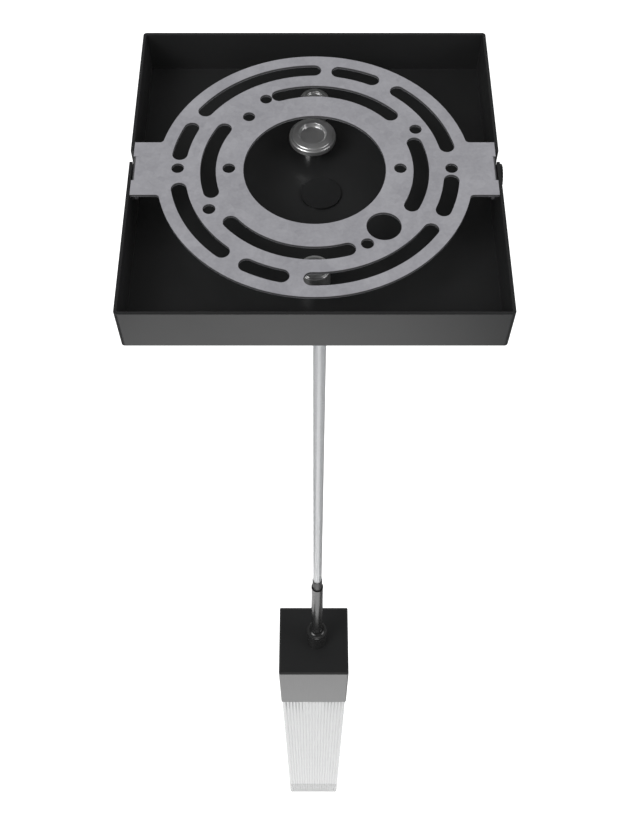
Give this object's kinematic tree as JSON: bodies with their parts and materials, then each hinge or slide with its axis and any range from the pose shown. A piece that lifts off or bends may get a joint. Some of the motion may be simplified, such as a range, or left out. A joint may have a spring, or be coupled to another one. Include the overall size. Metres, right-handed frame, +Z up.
{
  "type": "pendant light",
  "caption": "Cord-hung pendant light: square sliding canopy on a ceiling plate, swivelling cord with a sleeve, and a square metal cap over a long ribbed glass shade.",
  "frame": {"origin": "centre of the mounting plate's top face, which lies against the ceiling or junction box", "axes": "+Z up out of the plate into the ceiling, -Z down along the cord to the lamp, +X towards the locking screw, -Y the front"},
  "size_m": [0.1214, 0.1206, 0.9214],
  "materials": {
    "zinc_plate": "galvanised, satin",
    "bright_steel": "plated, satin",
    "canopy_paint": "matte black powder coat",
    "screw_black": "black oxide",
    "dished_steel": "bright, dished",
    "grip_black": "fine moulded grain",
    "nylon": "natural nylon",
    "cord_silver": "clear jacket over a bright braid",
    "ferrule_dark": "satin",
    "sleeve_black": "satin black",
    "cap_black": "satin black, fine brushed",
    "brass": "machined",
    "bracket_steel": "zinc plated",
    "driver_plastic": "moulded",
    "board_green": "solder mask",
    "component_grey": "mixed",
    "lead_red": "insulated wire",
    "sink_aluminium": "extruded",
    "board_white": "white solder mask",
    "led_yellow": "phosphor",
    "gasket_rubber": "silicone",
    "shade_glass": "clear, ribbed",
    "diffuser_opal": "frosted"
  },
  "bodies": {
    "bracket": {"mounting_plate": "zinc_plate", "locating_stud": "bright_steel", "clinch_nut": "bright_steel"},
    "lock_screw": {"thumbscrew": "screw_black"},
    "canopy": {"canopy_pan": "canopy_paint", "floor_standoffs": "dished_steel", "earth_post": "bright_steel", "earth_cup": "dished_steel", "grip_cap": "grip_black", "grip_housing": "grip_black", "grip_retainer": "grip_black"},
    "seat": {"swivel_seat": "nylon"},
    "drop": {"swivel_ball": "bright_steel", "cord": "cord_silver", "cord_ferrule": "ferrule_dark", "drop_sleeve": "sleeve_black", "collar": "sleeve_black", "collar_set_screw": "screw_black", "thrust_washer": "bright_steel", "retaining_nut": "brass", "cord_plug": "grip_black"},
    "lamp": {"cap_shell": "cap_black", "chassis": "bracket_steel", "side_screws": "screw_black", "shade_cradles": "bracket_steel", "driver_case": "driver_plastic", "driver_lid": "driver_plastic", "driver_board": "board_green", "driver_parts": "component_grey", "driver_socket": "grip_black", "driver_tray": "driver_plastic", "led_leads": "lead_red", "heat_sink": "sink_aluminium", "led_board": "board_white", "led_chips": "led_yellow", "gasket": "gasket_rubber", "shade": "shade_glass", "diffuser": "diffuser_opal"}
  },
  "joints": [
    {"name": "lock_screw_turn", "type": "hinge", "parent": "bracket", "child": "lock_screw", "pos_m": [0.0604, 0, -0.00455], "axis": [1, 0, 0], "range_deg": [0, 450]},
    {"name": "canopy_slide", "type": "slide", "parent": "bracket", "child": "canopy", "axis": [0, 1, 0], "range_m": [-0.0051, 0]},
    {"name": "swing_front_back", "type": "hinge", "parent": "canopy", "child": "seat", "pos_m": [0.0022, 0.0027, -0.0262], "axis": [1, 0, 0], "range_deg": [-20, 20]},
    {"name": "swing_side", "type": "hinge", "parent": "seat", "child": "drop", "pos_m": [0.0022, 0.0027, -0.0262], "axis": [0, 1, 0], "range_deg": [-20, 20]},
    {"name": "lamp_turn", "type": "hinge", "parent": "drop", "child": "lamp", "pos_m": [0.0022, 0.0027, -0.4939], "axis": [0, 0, 1], "continuous": true}
  ]
}
